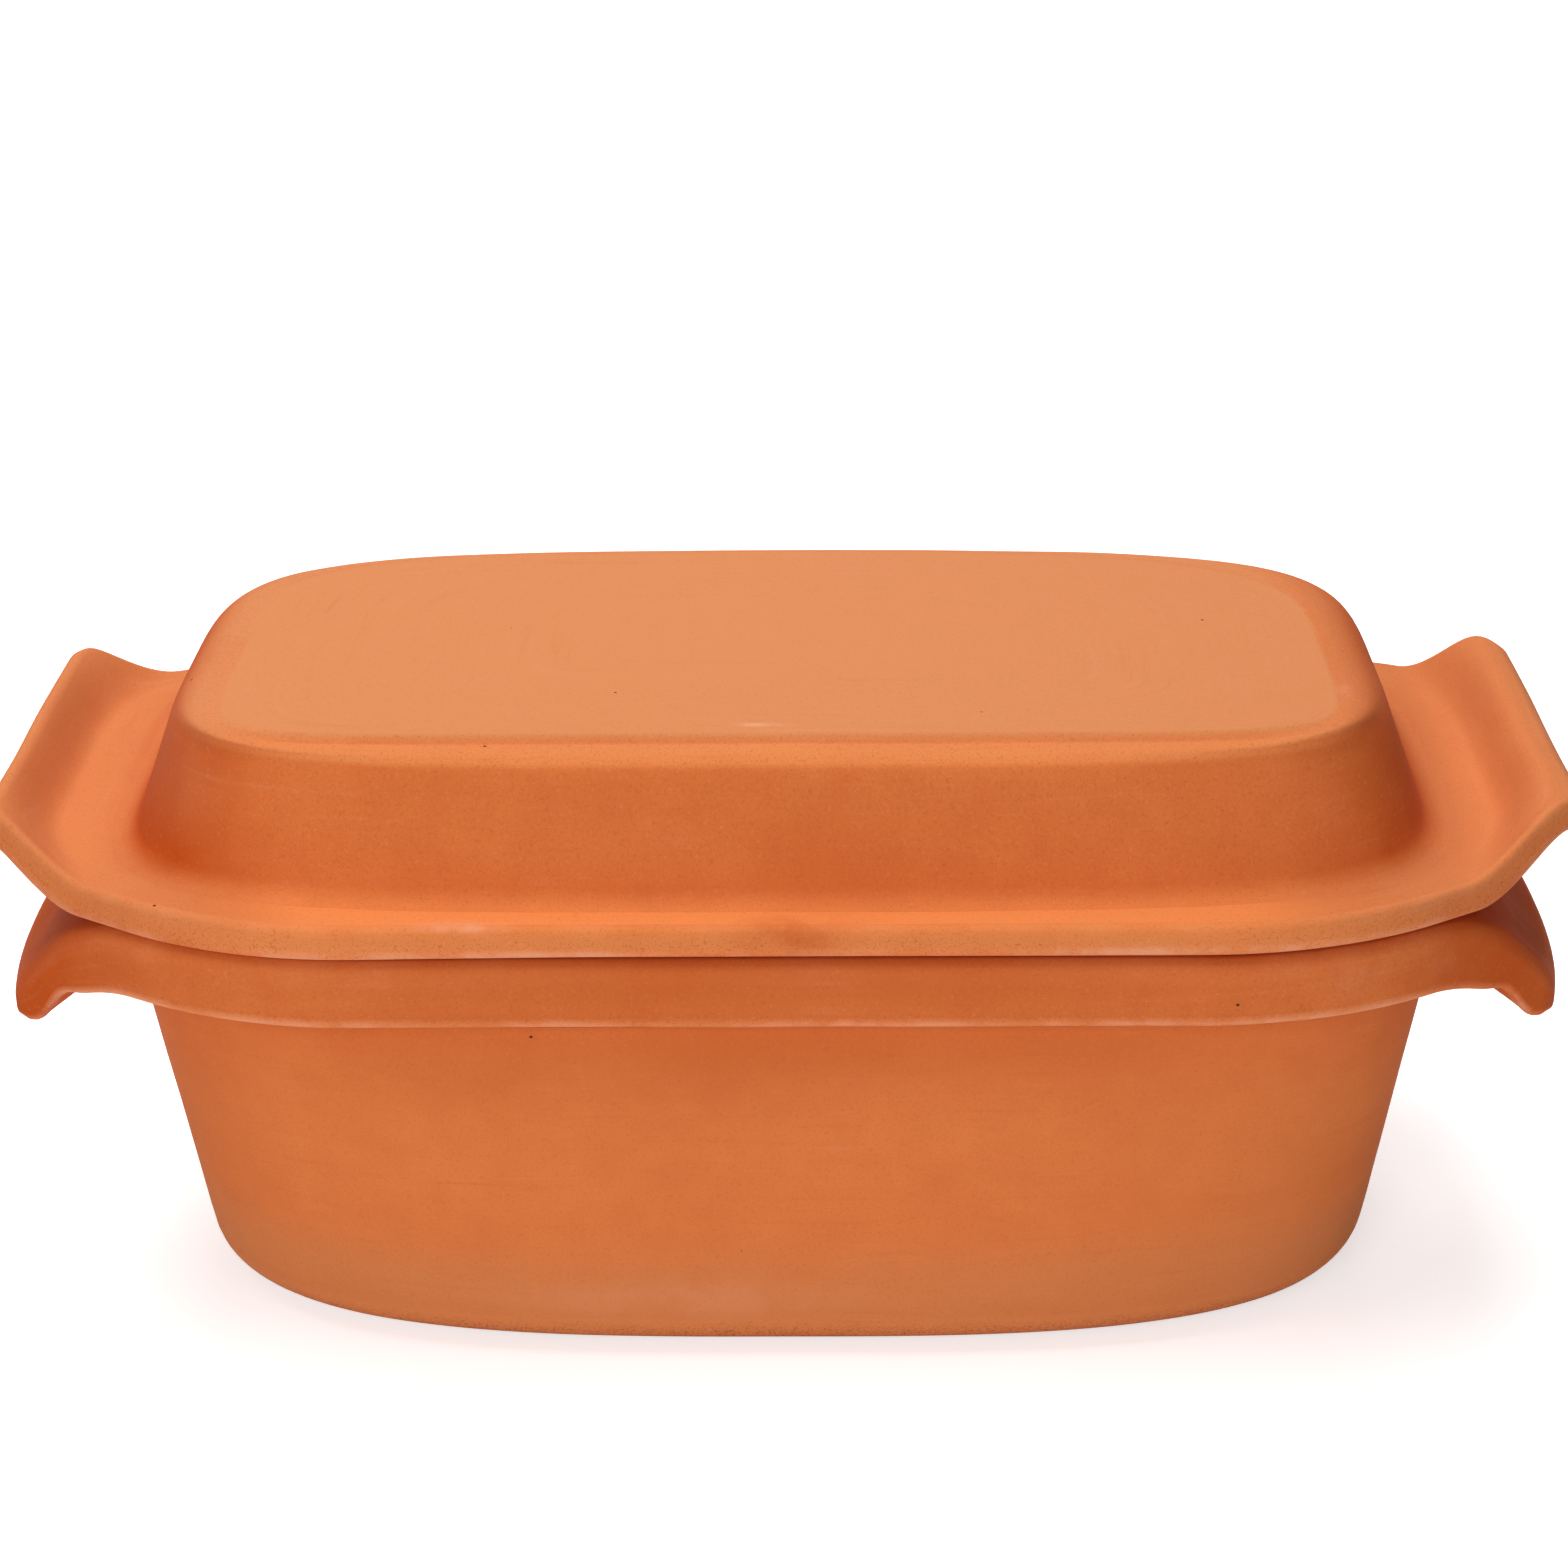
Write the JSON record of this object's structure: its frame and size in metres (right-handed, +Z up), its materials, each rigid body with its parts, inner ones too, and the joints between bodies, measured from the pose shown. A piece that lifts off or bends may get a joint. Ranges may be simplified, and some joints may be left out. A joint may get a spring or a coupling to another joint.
{
  "type": "clay roaster",
  "caption": "Oval unglazed terracotta roaster: a deep tapering pot with flanged rim and drooping lugs, and a flat-topped domed lid with upswept lugs.",
  "frame": {"origin": "centre of the underside of the pot, on the surface that it stands on", "axes": "+Z up out of the pot, +X along the length from lug to lug, +Y across; the front seen in the picture is -Y"},
  "size_m": [0.425, 0.213, 0.179],
  "materials": {
    "pot_clay": "matt unglazed fired clay",
    "lid_clay": "matt unglazed fired clay"
  },
  "bodies": {
    "root": {"pot": "pot_clay", "lid": "lid_clay"}
  },
  "joints": []
}
